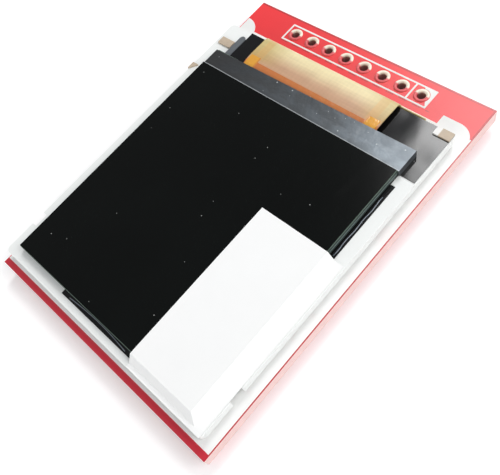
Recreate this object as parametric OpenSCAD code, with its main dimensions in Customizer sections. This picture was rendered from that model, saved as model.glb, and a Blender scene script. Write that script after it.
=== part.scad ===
// Small square colour display on a carrier board.
// The frame of reference has its origin at the centre of the board's back face:
// +X runs along the header row, +Y points to the header edge and +Z comes out of the screen.

/* [Board] */
// Width of the board
board_w = 32.5; // [31.8:0.1:36]
// Length of the board, from the foot to the header edge
board_l = 44.5; // [43.5:0.1:48]
// Thickness of the board
board_t = 1.6; // [0.8:0.1:2]
// Thickness of the copper on the pads
copper_t = 0.04; // [0.02:0.01:0.07]
// Thickness of the printed ink
ink_t = 0.03; // [0.02:0.01:0.05]

/* [Header] */
// Number of header holes
pin_count = 8; // [4:1:9]
// Distance from one header hole to the next
pin_pitch = 2.54; // [2:0.01:2.8]
// Finished diameter of a header hole
hole_d = 1.0; // [0.8:0.05:1.2]
// Thickness of the plating in a header hole
plating_t = 0.06; // [0.03:0.01:0.1]
// Diameter of the pad round a header hole
pad_d = 1.75; // [1.5:0.05:1.9]
// Distance from the header edge to the row of holes
header_inset = 2.22; // [1.8:0.01:2.6]
// Sideways place of the row of holes
header_shift = -0.15; // [-1:0.05:1]

/* [Print] */
// Width of the bare strip along the foot of the board
foot_margin = 0.7; // [0.2:0.05:1]
// Width of the bare strip along the sides of the board
side_margin = 0.12; // [0.05:0.01:0.3]
// Distance from the header edge to the printed field
field_inset = 4.4; // [4:0.05:4.8]
// Height of the raised part of the field at the right-hand end
ear_rise = 1.2; // [0.5:0.05:1.3]
// Width of the raised part of the field
ear_w = 4; // [2:0.1:6]
// Corner radius of the raised part
ear_r = 2; // [0.5:0.1:2.5]
// Radius of the round part of the field at the left-hand side
lobe_r = 2.3; // [1:0.1:2.6]
// Width of a printed line
line_w = 0.2; // [0.1:0.01:0.3]

/* [Display housing] */
// Width of the white housing
frame_w = 31.1; // [29.6:0.1:31.4]
// Length of the white housing
frame_l = 37.7; // [36.8:0.1:38]
// Thickness of the white housing
frame_t = 1.02; // [0.9:0.01:1.4]
// Distance from the header edge to the housing
frame_inset = 5.6; // [5.3:0.05:6]
// Sideways place of the housing
frame_shift = -0.43; // [-0.5:0.01:0.4]
// Corner radius of the housing
frame_r = 0.6; // [0.2:0.1:1]
// Thickness of the foam tape under the housing
foam_t = 0.4; // [0.35:0.01:0.8]
// Thickness of the black tapes
tape_t = 0.05; // [0.03:0.01:0.08]
// Thickness of one film behind the screen
film_t = 0.08; // [0.05:0.01:0.1]

/* [Screen] */
// Width of the front polariser
screen_w = 27.1; // [25:0.1:27.6]
// Length of the front polariser
screen_l = 29.3; // [27:0.1:29.5]
// Distance from the housing's foot to the front polariser
screen_inset = 1.45; // [1:0.05:1.8]
// Thickness of a polariser
polariser_t = 0.15; // [0.1:0.01:0.2]
// Thickness of each of the two sheets of glass
glass_t = 0.4; // [0.3:0.01:0.5]
// How far the glass stands out past the polariser
glass_margin = 0.1; // [0.05:0.01:0.2]
// Length of the glass ledge that carries the driver chip
ledge_l = 2.5; // [2.2:0.1:2.8]
// Width of the black tape's edge along the sides of the screen
window_side = 0.65; // [0.4:0.05:1.5]
// Width of the black tape's edge along the foot and the top of the screen
window_end = 1.25; // [1:0.05:2]

/* [Flex tail] */
// Width of the flex tail at the ledge
flex_w = 18.5; // [14:0.1:20]
// Sideways place of the flex tail from the middle of the housing
flex_shift = -0.3; // [-1:0.05:1]
// Thickness of the flex tail
flex_t = 0.1; // [0.06:0.01:0.12]
// How much wider the tail is below its bend, at its right-hand side
flex_shoulder = 3; // [1:0.1:4]
// Clearance between the tail and the end of the housing
flex_gap = 0.08; // [0.05:0.01:0.15]
// Height of the tail's arch over the ledge
arch_rise = 0.12; // [0.05:0.01:0.3]
// Length of the tail that runs back under the housing
flex_return = 8.6; // [6:0.1:10]
// Number of solder joints
joint_count = 14; // [8:1:16]
// Distance from one solder joint to the next
joint_pitch = 1.2; // [0.8:0.05:1.3]

/* [Label] */
// Width of the blank label
label_w = 10; // [6:0.1:12]
// Length of the blank label
label_l = 20; // [12:0.1:22]
// Thickness of the label
label_t = 0.08; // [0.05:0.01:0.12]
// Sideways run of the label's slope beside the screen
label_slope = 0.75; // [0.5:0.05:0.9]

/* [Back of the board] */
// Length of a three-leg package
sot_l = 2.9; // [2.5:0.1:3.2]
// Width of a three-leg package
sot_w = 1.3; // [1.2:0.05:1.6]
// Height of a three-leg package, without its legs
sot_h = 0.95; // [0.8:0.01:1.1]
// Clear height under a three-leg package
sot_gap = 0.1; // [0.05:0.01:0.15]
// Length of a capacitor
cap_l = 2; // [1.6:0.1:2.2]
// Width of a capacitor
cap_w = 1.25; // [0.8:0.05:1.4]
// Height of a capacitor
cap_h = 1.0; // [0.6:0.05:1.1]
// Length of a resistor
res_l = 1.6; // [1:0.1:2]
// Width of a resistor
res_w = 0.8; // [0.5:0.05:1]
// Height of a resistor
res_h = 0.45; // [0.3:0.05:0.6]
// Length of one metal end of a capacitor or resistor
end_l = 0.35; // [0.2:0.05:0.45]

/* [Hidden] */

$fn = 48;
eps = 0.01;

// Heights of the layers, from the board up
z_board = board_t;
z_ink = z_board + ink_t;
z_housing = z_ink + foam_t;
z_shelf = z_housing + frame_t;
z_rim = z_shelf + tape_t;
z_glass = z_rim + polariser_t;
z_ledge = z_glass + glass_t;
z_upper_glass = z_ledge + glass_t;
z_screen = z_upper_glass + polariser_t;

// Edges of the housing
frame_x0 = frame_shift - frame_w / 2;
frame_x1 = frame_shift + frame_w / 2;
frame_y1 = board_l / 2 - frame_inset;
frame_y0 = frame_y1 - frame_l;

// Edges of the screen and its glass
screen_x0 = frame_shift - screen_w / 2;
screen_x1 = frame_shift + screen_w / 2;
screen_y0 = frame_y0 + screen_inset;
screen_y1 = screen_y0 + screen_l;
glass_x0 = screen_x0 - glass_margin;
glass_x1 = screen_x1 + glass_margin;
glass_y0 = screen_y0 - glass_margin;
glass_y1 = screen_y1 + glass_margin;
ledge_y1 = glass_y1 + ledge_l;
screen_mid_y = (screen_y0 + screen_y1) / 2;

// The viewing window in the black tape
window_w = screen_w - 2 * window_side;
window_l = screen_l - 2 * window_end;

// The cavity of the housing holds the films, the light guide and, past it, the lamps
guide_edge = 0.45;
cavity_w = window_w + 2 * guide_edge;
cavity_y0 = screen_mid_y - window_l / 2 - guide_edge;
guide_y1 = screen_mid_y + window_l / 2 + guide_edge;
led_l = 1;
led_gap = 0.05;
sheet_gap = 0.05;
cavity_y1 = guide_y1 + led_l + 2 * led_gap + sheet_gap;
guide_t = frame_t - 4 * film_t;

// The flex tail, seen from the side: y and z of its middle line
flex_x0 = frame_shift + flex_shift - flex_w / 2;
flex_x1 = flex_x0 + flex_w;
shield_t = 0.08;
bond_l = 1;
z_bond = z_ledge + flex_t / 2;
z_arch = z_bond + arch_rise;
z_turn = z_shelf + shield_t;
z_tail = z_ink + flex_t / 2;
turn_y = frame_y1 + flex_gap + flex_t / 2;
turn_r = z_arch - z_turn;
under_r = z_housing - z_tail;
flex_end_y = frame_y1 - flex_return;
ARCH = [[ledge_y1, z_bond], [ledge_y1 + 0.8, z_bond + 2.5 * arch_rise],
        [turn_y - turn_r - 1.3, z_arch], [turn_y - turn_r, z_arch]];
arch_steps = 12;

// The grey tape over the ledge sits on the driver chip
chip_h = 0.33;
cover_t = 0.07;
cover_near = glass_y1 - 0.04;
cover_far_left = ledge_y1 - 0.3;
cover_far_right = ledge_y1 + 0.3;

// The rim tape shows past the glass at the right-hand side and the foot
rim_flange = 0.55;
rim_right_top = screen_y1 - 1.1;
rim_foot_start = screen_x0 + screen_w * 0.28;

// The shield tape lies on the housing's header end
shield_x0 = frame_x0 + 3.3;
shield_x1 = frame_x1 - 0.1;
shield_y0 = screen_y1 + 0.25;
shield_y1 = frame_y1 - 0.05;

// Edges of the label
label_x0 = frame_x1 - 0.12 - label_w;
label_x1 = label_x0 + label_w;
label_y0 = frame_y0 + 0.05;
label_y1 = label_y0 + label_l;

// Places of the parts on the back, as [x, y, turn]
PACKAGES = [[-8, 11.5, 0], [9, 11.5, 0]];
CAPACITORS = [[-12.5, 11.5, 90], [-3.5, 11.5, 90], [0, 5, 0]];
RESISTORS = [[4.2, 11.5, 90], [13, 11.5, 90], [6, 5, 0], [-6, 5, 0]];
pad_over = 0.3;
leg_w = 0.4;
leg_t = 0.12;
leg_pitch = 0.95;
leg_reach = 0.55;

function bezier(p, t) =
    pow(1 - t, 3) * p[0] + 3 * t * pow(1 - t, 2) * p[1] + 3 * t * t * (1 - t) * p[2] + pow(t, 3) * p[3];

function bezier_way(p, t) =
    3 * pow(1 - t, 2) * (p[1] - p[0]) + 6 * t * (1 - t) * (p[2] - p[1]) + 3 * t * t * (p[3] - p[2]);

// Point beside a curve at parameter t, off to its left by d
function beside(p, t, d) =
    let (way = bezier_way(p, t), side = [-way[1], way[0]] / norm(way)) bezier(p, t) + d * side;

// Points beside a curve from its start to parameter t1, at a distance that goes from d0 to d1
function curve_side(p, t1, d0, d1) =
    [for (i = [0 : arch_steps]) beside(p, t1 * i / arch_steps, d0 + (d1 - d0) * i / arch_steps)];

function reversed(list) = [for (i = [len(list) - 1 : -1 : 0]) list[i]];

// Draws a [y, z] section from x0 to x1
module along_x(x0, x1) {
    translate([x0, 0, 0]) rotate([90, 0, 90]) linear_extrude(x1 - x0) children();
}

// Draws an [x, z] section from y0 to y1
module along_y(y0, y1) {
    translate([0, y1, 0]) rotate([90, 0, 0]) linear_extrude(y1 - y0) children();
}

module plate(x0, x1, y0, y1, z0, h) {
    translate([x0, y0, z0]) cube([x1 - x0, y1 - y0, h]);
}

module header_row() {
    for (i = [0 : pin_count - 1])
        translate([header_shift + (i - (pin_count - 1) / 2) * pin_pitch, board_l / 2 - header_inset, 0])
            children();
}

module pcb() {
    color([0.82, 0.12, 0.15])
        difference() {
            plate(-board_w / 2, board_w / 2, -board_l / 2, board_l / 2, 0, board_t);
            header_row() translate([0, 0, -1]) cylinder(h = board_t + 2, d = hole_d + 2 * plating_t);
        }
}

// A plated hole: a ring on each face and the sleeve between them
module header_pads() {
    color([0.93, 0.89, 0.78])
        header_row()
            difference() {
                union() {
                    translate([0, 0, -copper_t]) cylinder(h = copper_t, d = pad_d);
                    cylinder(h = board_t, d = hole_d + 2 * plating_t);
                    translate([0, 0, board_t]) cylinder(h = copper_t, d = pad_d);
                }
                translate([0, 0, -1]) cylinder(h = board_t + 2, d = hole_d);
            }
}

// White ink round the display: a field with a round lobe at the left and a raised ear at the right
module field_outline() {
    left = -board_w / 2 + side_margin;
    right = board_w / 2 - side_margin;
    foot = -board_l / 2 + foot_margin;
    top = board_l / 2 - field_inset;
    lobe_x = left + 1.5;
    intersection() {
        union() {
            translate([lobe_x, foot]) square([right - lobe_x, top - foot]);
            translate([left, foot]) square([right - left, top - ear_r - foot]);
            translate([left, top - 0.85]) circle(r = lobe_r);
            translate([right - ear_w, top - ear_r]) square([ear_w - ear_r, ear_r + ear_rise]);
            translate([right - ear_r, top + ear_rise - ear_r]) circle(r = ear_r);
            translate([right - ear_w, top - ear_r]) square([ear_w, ear_rise]);
        }
        translate([left, foot]) square([right - left, board_l]);
    }
}

module print_field() {
    color([0.97, 0.97, 0.96])
        translate([0, 0, z_board]) linear_extrude(ink_t)
            difference() {
                field_outline();
                flex_pad_row(0.15);
            }
}

// The box round the header row, the bar beside pin one and its corner mark
module header_outline() {
    half = pin_count * pin_pitch / 2;
    row_y = board_l / 2 - header_inset;
    bar_x = header_shift + half - pin_pitch;
    pad_clear = pad_d / 2 + 0.06;
    color([0.97, 0.97, 0.96])
        translate([0, 0, z_board]) linear_extrude(ink_t) {
            difference() {
                translate([header_shift - half, row_y - pin_pitch / 2]) square([2 * half, pin_pitch]);
                translate([header_shift - half + line_w, row_y - pin_pitch / 2 + line_w])
                    square([2 * half - 2 * line_w, pin_pitch - 2 * line_w]);
            }
            translate([bar_x - line_w / 2, row_y - pin_pitch / 2]) square([line_w, pin_pitch]);
            difference() {
                translate([bar_x, row_y])
                    polygon([[pin_pitch * 0.35, pin_pitch / 2], [pin_pitch, pin_pitch / 2],
                             [pin_pitch, -pin_pitch / 2]]);
                header_row_2d() circle(r = pad_clear);
            }
        }
}

module header_row_2d() {
    for (i = [0 : pin_count - 1])
        translate([header_shift + (i - (pin_count - 1) / 2) * pin_pitch, board_l / 2 - header_inset])
            children();
}

// Two strips of double-sided foam hold the housing to the board
module foam_tape() {
    strip_w = 5;
    inset = 1;
    color([0.2, 0.2, 0.21])
        for (x = [frame_x0 + inset, frame_x1 - inset - strip_w])
            plate(x, x + strip_w, frame_y0 + inset, flex_end_y - 3 * inset, z_ink, foam_t);
}

// A third strip fills the space between the flex tail and the housing
module flex_foam() {
    strip_l = flex_return * 0.35;
    inset = 1.2;
    color([0.2, 0.2, 0.21])
        plate(flex_x0, flex_x1, frame_y1 - inset - strip_l, frame_y1 - inset,
              z_ink + flex_t, foam_t - flex_t);
}

// White moulded housing: a ring round the light guide with a deep shelf at the header end
module housing() {
    notch_l = 1.6;
    notch_d = 0.27 * (frame_w - cavity_w) / 2;
    notch_y = screen_y0 + 2.6;
    color([0.93, 0.95, 0.93])
        difference() {
            translate([0, 0, z_housing]) linear_extrude(frame_t)
                difference() {
                    rounded_rect(frame_x0, frame_x1, frame_y0, frame_y1, frame_r);
                    translate([frame_x0 - eps, notch_y]) square([notch_d + eps, notch_l]);
                    translate([frame_x1 - notch_d, notch_y]) square([notch_d + eps, notch_l]);
                }
            plate(frame_shift - cavity_w / 2, frame_shift + cavity_w / 2, cavity_y0, cavity_y1,
                  z_housing - 1, frame_t + 2);
        }
}

module rounded_rect(x0, x1, y0, y1, r) {
    translate([x0 + r, y0]) square([x1 - x0 - 2 * r, y1 - y0]);
    translate([x0, y0 + r]) square([x1 - x0, y1 - y0 - 2 * r]);
    for (x = [x0 + r, x1 - r])
        for (y = [y0 + r, y1 - r])
            translate([x, y]) circle(r = r);
}

// One sheet of the stack behind the screen, of thickness h at height z, as far as y1
module backlight_sheet(y1, z, h) {
    plate(frame_shift - cavity_w / 2 + sheet_gap, frame_shift + cavity_w / 2 - sheet_gap,
          cavity_y0 + sheet_gap, y1, z, h);
}

module reflector() {
    color([0.95, 0.95, 0.95]) backlight_sheet(cavity_y1 - sheet_gap, z_housing, film_t);
}

module light_guide() {
    color([0.8, 0.9, 0.92]) backlight_sheet(guide_y1, z_housing + film_t, guide_t);
}

module diffuser() {
    color([0.9, 0.9, 0.88]) backlight_sheet(guide_y1, z_housing + film_t + guide_t, film_t);
}

module prism_lower() {
    color([0.84, 0.87, 0.9]) backlight_sheet(guide_y1, z_housing + 2 * film_t + guide_t, film_t);
}

module prism_upper() {
    color([0.8, 0.84, 0.88]) backlight_sheet(guide_y1, z_housing + 3 * film_t + guide_t, film_t);
}

// Three side-facing lamps at the edge of the light guide
module backlight_leds() {
    led_w = 3.8;
    led_pitch = 8.4;
    color([0.96, 0.94, 0.7])
        for (i = [-1 : 1])
            plate(frame_shift + i * led_pitch - led_w / 2, frame_shift + i * led_pitch + led_w / 2,
                  guide_y1 + led_gap, guide_y1 + led_gap + led_l,
                  z_housing + film_t, frame_t - 2 * film_t);
}

module led_strip() {
    color([0.85, 0.6, 0.2])
        plate(frame_shift - cavity_w / 2 + sheet_gap, frame_shift + cavity_w / 2 - sheet_gap,
              guide_y1 + led_gap, cavity_y1 - sheet_gap, z_shelf - film_t, film_t);
}

// Black tape between the housing and the glass, with the viewing window cut out
module rim_tape() {
    flange_x = glass_x1 + rim_flange;
    flange_y = glass_y0 - rim_flange;
    color([0.05, 0.05, 0.06])
        translate([0, 0, z_shelf]) linear_extrude(tape_t)
            difference() {
                union() {
                    translate([glass_x0, glass_y0])
                        square([glass_x1 - glass_x0, shield_y0 - 0.05 - glass_y0]);
                    translate([rim_foot_start, flange_y])
                        square([flange_x - rim_foot_start, rim_right_top - flange_y]);
                }
                translate([frame_shift - window_w / 2, screen_mid_y - window_l / 2])
                    square([window_w, window_l]);
            }
}

// Glossy black tape over the housing's header end, under the flex tail
module shield_tape() {
    color([0.06, 0.06, 0.07])
        plate(shield_x0, shield_x1, shield_y0, shield_y1, z_shelf, shield_t);
}

module rear_polariser() {
    color([0.12, 0.12, 0.14])
        plate(screen_x0 + 0.3, screen_x1 - 0.3, screen_y0 + 0.3, screen_y1 - 0.3, z_rim, polariser_t);
}

// The lower glass carries the circuit and stands out at the header end as a ledge
module thin_film_glass() {
    color([0.2, 0.3, 0.28])
        plate(glass_x0, glass_x1, glass_y0, ledge_y1, z_glass, glass_t);
}

module colour_filter_glass() {
    color([0.15, 0.24, 0.22])
        plate(glass_x0 + 0.04, glass_x1 - 0.04, glass_y0 + 0.04, glass_y1 - 0.08, z_ledge, glass_t);
}

module front_polariser() {
    color([0.06, 0.07, 0.07])
        plate(screen_x0, screen_x1, screen_y0, screen_y1, z_upper_glass, polariser_t);
}

module driver_chip() {
    chip_l = 13;
    chip_w = 0.8;
    color([0.25, 0.26, 0.28])
        plate(frame_shift - chip_l / 2, frame_shift + chip_l / 2,
              glass_y1 + 0.35, glass_y1 + 0.35 + chip_w, z_ledge, chip_h);
}

// Grey tape over the ledge and the chip, turned down at its right-hand end
module ledge_tape() {
    z_cover = z_ledge + chip_h;
    cover_x1 = glass_x1 + 0.15;
    color([0.42, 0.45, 0.48]) {
        translate([0, 0, z_cover]) linear_extrude(cover_t)
            polygon([[screen_x0, cover_near], [cover_x1, cover_near],
                     [cover_x1, cover_far_right], [screen_x0, cover_far_left]]);
        plate(cover_x1 - cover_t, cover_x1, cover_near, cover_far_right, z_turn, z_cover + cover_t - z_turn);
    }
}

// A quarter of a ring that follows the tail round a bend of radius r, from angle a on
module flex_turn(y, z, r, a) {
    translate([y, z]) rotate(a)
        intersection() {
            difference() {
                circle(r = r + flex_t / 2);
                circle(r = r - flex_t / 2);
            }
            square(r + flex_t);
        }
}

// The part of the tail below the bend: round the housing's lower edge and back under it
module flex_low_section() {
    translate([turn_y - flex_t / 2, z_housing]) square([flex_t, z_turn - z_housing]);
    flex_turn(turn_y - under_r, z_housing, under_r, 270);
    translate([flex_end_y, z_ink]) square([turn_y - under_r - flex_end_y, flex_t]);
}

// The part above: bonded to the ledge, arched over the housing's end and turned down
module flex_high_section() {
    translate([ledge_y1 - bond_l, z_ledge]) square([bond_l, flex_t]);
    polygon(concat(curve_side(ARCH, 1, flex_t / 2, flex_t / 2),
                   reversed(curve_side(ARCH, 1, -flex_t / 2, -flex_t / 2)),
                   [[ledge_y1, z_ledge], [ledge_y1, z_ledge + flex_t]]));
    flex_turn(turn_y - turn_r, z_turn, turn_r, 0);
}

module flex_tail() {
    color([0.85, 0.68, 0.38]) {
        along_x(flex_x0, flex_x1) {
            flex_high_section();
            flex_low_section();
        }
        along_x(flex_x1, flex_x1 + flex_shoulder) flex_low_section();
    }
}

// Amber sealant on the tail where it leaves the ledge, with a fuller drop at both ends
module flex_seal() {
    bead_h = 0.14;
    drop_l = 1.4;
    inset = 0.2;
    bead_reach = 0.25;
    drop_reach = 0.42;
    start_y = ledge_y1 - 0.3;
    color([0.88, 0.55, 0.2])
        for (x = [[flex_x0 + inset, drop_l, drop_reach],
                  [flex_x0 + inset + drop_l, flex_w - 2 * (inset + drop_l), bead_reach],
                  [flex_x1 - inset - drop_l, drop_l, drop_reach]])
            along_x(x[0], x[0] + x[1])
                polygon(concat([[start_y, z_ledge + flex_t]],
                               curve_side(ARCH, x[2], flex_t / 2 + eps, flex_t / 2 + eps),
                               reversed(curve_side(ARCH, x[2], flex_t / 2 + bead_h, flex_t / 2 + 2 * eps)),
                               [[start_y, z_ledge + flex_t + bead_h]]));
}

// Sideways place of solder joint i
function joint_x(i) = frame_shift + flex_shift + (i - (joint_count - 1) / 2) * joint_pitch;

module flex_pad_row(grow) {
    for (i = [0 : joint_count - 1])
        translate([joint_x(i) - joint_pitch / 4 - grow, flex_end_y - 1 - grow])
            square([joint_pitch / 2 + 2 * grow, 0.9 + 2 * grow]);
}

module flex_pads() {
    color([0.85, 0.65, 0.3])
        translate([0, 0, z_board]) linear_extrude(copper_t) flex_pad_row(0);
}

// Each joint climbs from its pad on to the end of the tail
module flex_solder() {
    rise = 0.12;
    z_tail_top = z_ink + flex_t;
    color([0.78, 0.79, 0.8])
        for (i = [0 : joint_count - 1]) {
            x = joint_x(i);
            along_x(x - joint_pitch / 4, x + joint_pitch / 4)
                polygon([[flex_end_y - 0.95, z_board + copper_t], [flex_end_y - 0.15, z_board + copper_t],
                         [flex_end_y - 0.15, z_tail_top], [flex_end_y + 0.6, z_tail_top],
                         [flex_end_y + 0.3, z_tail_top + rise], [flex_end_y - 0.3, z_tail_top + rise]]);
        }
}

// Two small ends of the assembly tape that stick out at the header end
module corner_tabs() {
    tab_l = 1.9;
    tab_w = 1;
    tab_t = 0.2;
    flap_y = screen_y1 - 0.2;
    left_tab_x = frame_x0 + 0.5;
    left_tab_y = ledge_y1 + 1.1;
    color([0.78, 0.7, 0.62]) {
        plate(shield_x1 - tab_l, shield_x1, shield_y1 - tab_w, shield_y1, z_shelf + shield_t, tab_t);
        plate(left_tab_x, left_tab_x + tab_l, left_tab_y, left_tab_y + tab_w, z_shelf, tab_t);
        translate([0, 0, z_shelf]) linear_extrude(tab_t)
            polygon([[frame_x0, flap_y - 1], [frame_x0 + 0.8, flap_y], [frame_x0, flap_y]]);
    }
}

// Section of the label's slope: flat on the screen, down past the glass and flat on the housing
function slope(near, far, edge, foot, t) =
    [[near, z_screen + t], [edge + t, z_screen + t], [foot + t, z_shelf + tape_t + t],
     [far, z_shelf + tape_t + t], [far, z_shelf + tape_t - 1], [near, z_shelf + tape_t - 1]];

module label_form(t) {
    foot_x = glass_x1 + label_slope;
    foot_y = glass_y0 - label_slope;
    intersection() {
        along_y(label_y0, label_y1) polygon(slope(label_x0, label_x1, glass_x1, foot_x, t));
        along_x(label_x0, label_x1)
            polygon([for (p = slope(-label_y1, -label_y0, -glass_y0, -foot_y, t)) [-p[0], p[1]]]);
    }
}

module blank_label() {
    color([0.98, 0.98, 0.97])
        difference() {
            label_form(label_t);
            label_form(0);
        }
}

// Puts a part on the back of the board at [x, y, turn], its own +Z pointing away from the board
module on_back(place) {
    translate([place[0], place[1], -copper_t]) rotate([180, 0, place[2]]) children();
}

module chip_pads(l, w) {
    pad_l = end_l + pad_over;
    for (side = [-1, 1])
        translate([side * (l / 2 - end_l / 2 + pad_over / 2) - pad_l / 2, -(w + pad_over) / 2, -copper_t])
            cube([pad_l, w + pad_over, copper_t]);
}

// Places of the three legs, as [x, side]
LEGS = [[-leg_pitch, -1], [leg_pitch, -1], [0, 1]];

module rear_pads() {
    color([0.86, 0.84, 0.78]) {
        for (p = CAPACITORS) on_back(p) chip_pads(cap_l, cap_w);
        for (p = RESISTORS) on_back(p) chip_pads(res_l, res_w);
        for (p = PACKAGES)
            on_back(p)
                for (leg = LEGS)
                    translate([leg[0] - leg_w, leg[1] * (sot_w / 2 + leg_reach) - leg_w, -copper_t])
                        cube([2 * leg_w, 2 * leg_w, copper_t]);
    }
}

// Moulded body with drafted sides
module package_bodies() {
    draft = 0.1;
    mid = sot_gap + sot_h / 2;
    color([0.1, 0.1, 0.11])
        for (p = PACKAGES)
            on_back(p)
                along_x(-sot_l / 2, sot_l / 2)
                    polygon([[-sot_w / 2 + draft, sot_gap], [sot_w / 2 - draft, sot_gap], [sot_w / 2, mid],
                             [sot_w / 2 - draft, sot_gap + sot_h], [-sot_w / 2 + draft, sot_gap + sot_h],
                             [-sot_w / 2, mid]]);
}

// Gull-wing legs, from the body's side down to the pad
module package_legs() {
    mid = sot_gap + sot_h / 2;
    knee = sot_w / 2 + leg_reach / 2;
    toe = sot_w / 2 + leg_reach;
    color([0.75, 0.76, 0.78])
        for (p = PACKAGES)
            on_back(p)
                for (leg = LEGS)
                    translate([leg[0], 0, 0]) scale([1, leg[1], 1])
                        along_x(-leg_w / 2, leg_w / 2)
                            polygon([[sot_w / 2, mid - leg_t / 2], [knee - leg_t / 2, mid - leg_t / 2],
                                     [knee, 0], [toe, 0], [toe, leg_t], [knee + leg_t, leg_t],
                                     [knee + leg_t / 2, mid + leg_t / 2], [sot_w / 2, mid + leg_t / 2]]);
}

module chip_body(l, w, h) {
    translate([-l / 2 + end_l, -w / 2, 0]) cube([l - 2 * end_l, w, h]);
}

module chip_caps(l, w, h) {
    for (side = [-1, 1])
        translate([side * (l / 2 - end_l / 2) - end_l / 2, -w / 2, 0]) cube([end_l, w, h]);
}

module capacitor_bodies() {
    color([0.72, 0.6, 0.44])
        for (p = CAPACITORS) on_back(p) chip_body(cap_l, cap_w, cap_h);
}

module resistor_bodies() {
    color([0.08, 0.08, 0.09])
        for (p = RESISTORS) on_back(p) chip_body(res_l, res_w, res_h);
}

module chip_ends() {
    color([0.8, 0.8, 0.82]) {
        for (p = CAPACITORS) on_back(p) chip_caps(cap_l, cap_w, cap_h);
        for (p = RESISTORS) on_back(p) chip_caps(res_l, res_w, res_h);
    }
}

pcb();
header_pads();
print_field();
header_outline();
foam_tape();
flex_foam();
housing();
reflector();
light_guide();
diffuser();
prism_lower();
prism_upper();
backlight_leds();
led_strip();
rim_tape();
shield_tape();
rear_polariser();
thin_film_glass();
colour_filter_glass();
front_polariser();
driver_chip();
ledge_tape();
flex_tail();
flex_seal();
flex_pads();
flex_solder();
corner_tabs();
blank_label();
rear_pads();
package_bodies();
package_legs();
capacitor_bodies();
resistor_bodies();
chip_ends();
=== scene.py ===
"""Finishes the small display module: its surfaces, fine fittings, light, floor and camera."""

import math

import bmesh
import bpy
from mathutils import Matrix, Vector


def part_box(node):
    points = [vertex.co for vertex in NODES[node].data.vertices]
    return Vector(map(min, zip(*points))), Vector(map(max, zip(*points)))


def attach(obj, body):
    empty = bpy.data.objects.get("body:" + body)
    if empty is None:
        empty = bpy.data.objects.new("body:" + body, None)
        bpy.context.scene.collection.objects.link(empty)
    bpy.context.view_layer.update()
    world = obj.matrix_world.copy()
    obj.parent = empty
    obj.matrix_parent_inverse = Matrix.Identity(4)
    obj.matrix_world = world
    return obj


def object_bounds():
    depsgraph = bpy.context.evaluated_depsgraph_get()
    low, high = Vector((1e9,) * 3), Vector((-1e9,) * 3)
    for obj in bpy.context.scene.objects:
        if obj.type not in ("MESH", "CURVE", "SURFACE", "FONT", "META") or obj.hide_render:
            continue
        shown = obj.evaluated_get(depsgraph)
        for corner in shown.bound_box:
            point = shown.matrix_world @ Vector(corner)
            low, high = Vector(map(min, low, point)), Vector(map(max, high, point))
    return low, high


bl_info = {
    "name": "Display Module Finish",
    "version": (1, 0, 0),
    "blender": (4, 5, 0),
    "location": "3D View > Sidebar > Module",
    "description": "Finishes, fine fittings and stage for a small display module",
    "category": "Object",
}

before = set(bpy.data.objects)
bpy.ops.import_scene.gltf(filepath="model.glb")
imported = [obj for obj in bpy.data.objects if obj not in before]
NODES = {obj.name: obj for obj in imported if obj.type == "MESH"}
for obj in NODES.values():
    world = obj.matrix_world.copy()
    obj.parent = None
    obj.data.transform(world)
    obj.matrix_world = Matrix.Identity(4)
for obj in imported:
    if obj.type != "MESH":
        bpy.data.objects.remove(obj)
CAD_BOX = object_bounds()
MM = 0.001

# Vias on the back, in millimetres: the x of each lower run, and the places of those on their own
LOWER_RUNS = (-12.6, -9.4, -6.9, -2.2, 2.6, 5.9, 9.6, 13.1)
LONE_VIAS = (
    (-14.6, 18.2), (14.4, 17.6), (-14.8, -19.6), (14.8, -19.4), (0.4, -19.8), (-4.4, 1.2), (11.4, 2.4),
)

# Each lamp's name, its direction from the screen, its distance, width and depth in metres, and its strength
LAMPS = (
    ("window", (-0.19, 0.6, 0.78), 0.42, 0.115, 0.15, 8.0),
    ("ceiling", (0.62, 0.4, 0.68), 0.6, 0.34, 0.34, 3.6),
    ("front", (0.3, -0.85, 0.42), 0.6, 0.4, 0.25, 3.2),
)


def tint(red, green, blue):
    """A colour given as it looks, 0 to 255 a channel, in the linear values that the renderer uses."""
    return tuple(
        c / 12.92 if c <= 0.04045 else ((c + 0.055) / 1.055) ** 2.4
        for c in (red / 255, green / 255, blue / 255)
    )


def colour(name, description, default):
    return bpy.props.FloatVectorProperty(
        name=name, description=description, default=default, size=3, min=0, max=1, subtype="COLOR"
    )


def length(name, description, default):
    return bpy.props.FloatProperty(
        name=name, description=description, default=default * MM, min=0, precision=5,
        subtype="DISTANCE", unit="LENGTH",
    )


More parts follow.
